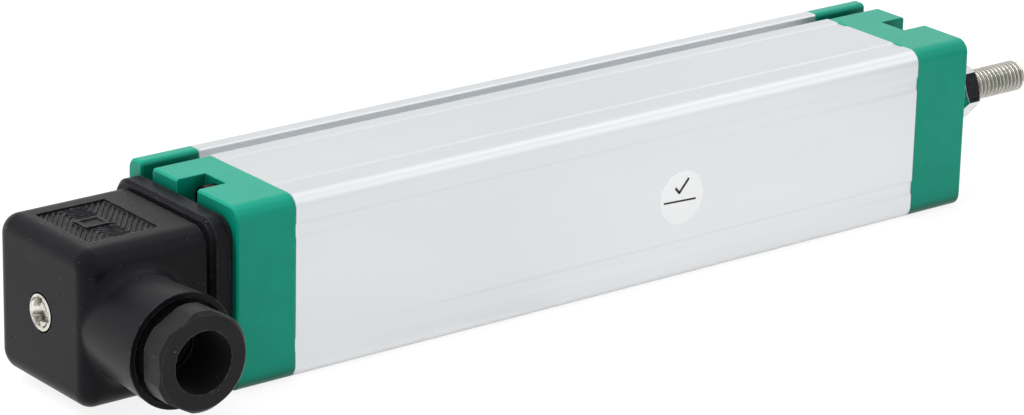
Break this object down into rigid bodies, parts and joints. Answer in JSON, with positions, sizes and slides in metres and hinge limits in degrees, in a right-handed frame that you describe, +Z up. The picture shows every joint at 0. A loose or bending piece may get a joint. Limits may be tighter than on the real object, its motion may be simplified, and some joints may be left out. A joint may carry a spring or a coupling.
{
  "type": "linear position sensor",
  "caption": "Rod-type linear potentiometer: square aluminium housing with moulded end caps, threaded push rod that slides and turns, and a square cable connector with side gland.",
  "frame": {"origin": "middle of the housing's underside", "axes": "+X along the rod as it comes out, -Y out of the marked face and the cable gland, +Z up"},
  "size_m": [0.2247, 0.0509, 0.0329],
  "materials": {
    "anodised_aluminium": "satin, clear anodised",
    "green_plastic": "moulded, semi-gloss",
    "black_plastic": "moulded, fine matt texture",
    "black_rubber": "matt",
    "dark_screw": "black oxide",
    "plated_screw": "nickel plated",
    "rod_steel": "ground stainless steel",
    "nut_steel": "polished",
    "bearing_bronze": "sintered",
    "contact_brass": "tinned",
    "board_laminate": "glass laminate",
    "carbon_track": "conductive plastic",
    "silver_track": "silver filled ink",
    "slider_plastic": "natural acetal",
    "lead_insulation": "insulated wire"
  },
  "bodies": {
    "housing": {"extruded_housing": "anodised_aluminium", "front_end_cap": "green_plastic", "rear_end_cap": "green_plastic", "front_cap_gasket": "black_rubber", "rear_cap_gasket": "black_rubber", "front_cap_screws": "dark_screw", "rear_cap_screws": "dark_screw", "rod_bushing": "bearing_bronze", "rod_wiper_seal": "black_rubber", "front_bumper": "black_rubber", "rear_bumper": "black_rubber", "element_board": "board_laminate", "resistive_track": "carbon_track", "collector_track": "silver_track", "lead_wires": "lead_insulation", "plug_base": "black_plastic", "base_pins": "contact_brass", "base_screws": "plated_screw", "flange_gasket": "black_rubber", "plug_gasket": "black_rubber", "connector_housing": "black_plastic", "connector_screw": "plated_screw", "connector_screw_seal": "black_rubber", "terminal_block": "black_plastic", "socket_contacts": "contact_brass", "terminal_screws": "plated_screw", "gland_nut": "black_plastic", "gland_washer": "black_plastic", "gland_seal": "black_rubber"},
    "carriage": {"wiper_carriage": "slider_plastic", "wiper_contacts": "contact_brass"},
    "rod": {"push_rod": "rod_steel", "rod_lock_nut": "nut_steel", "rod_retaining_clip": "rod_steel"}
  },
  "joints": [
    {"name": "rod_slide", "type": "slide", "parent": "housing", "child": "carriage", "axis": [1, 0, 0], "range_m": [0, 0.104]},
    {"name": "rod_spin", "type": "hinge", "parent": "carriage", "child": "rod", "pos_m": [0, 0, 0.01645], "axis": [1, 0, 0], "continuous": true}
  ]
}
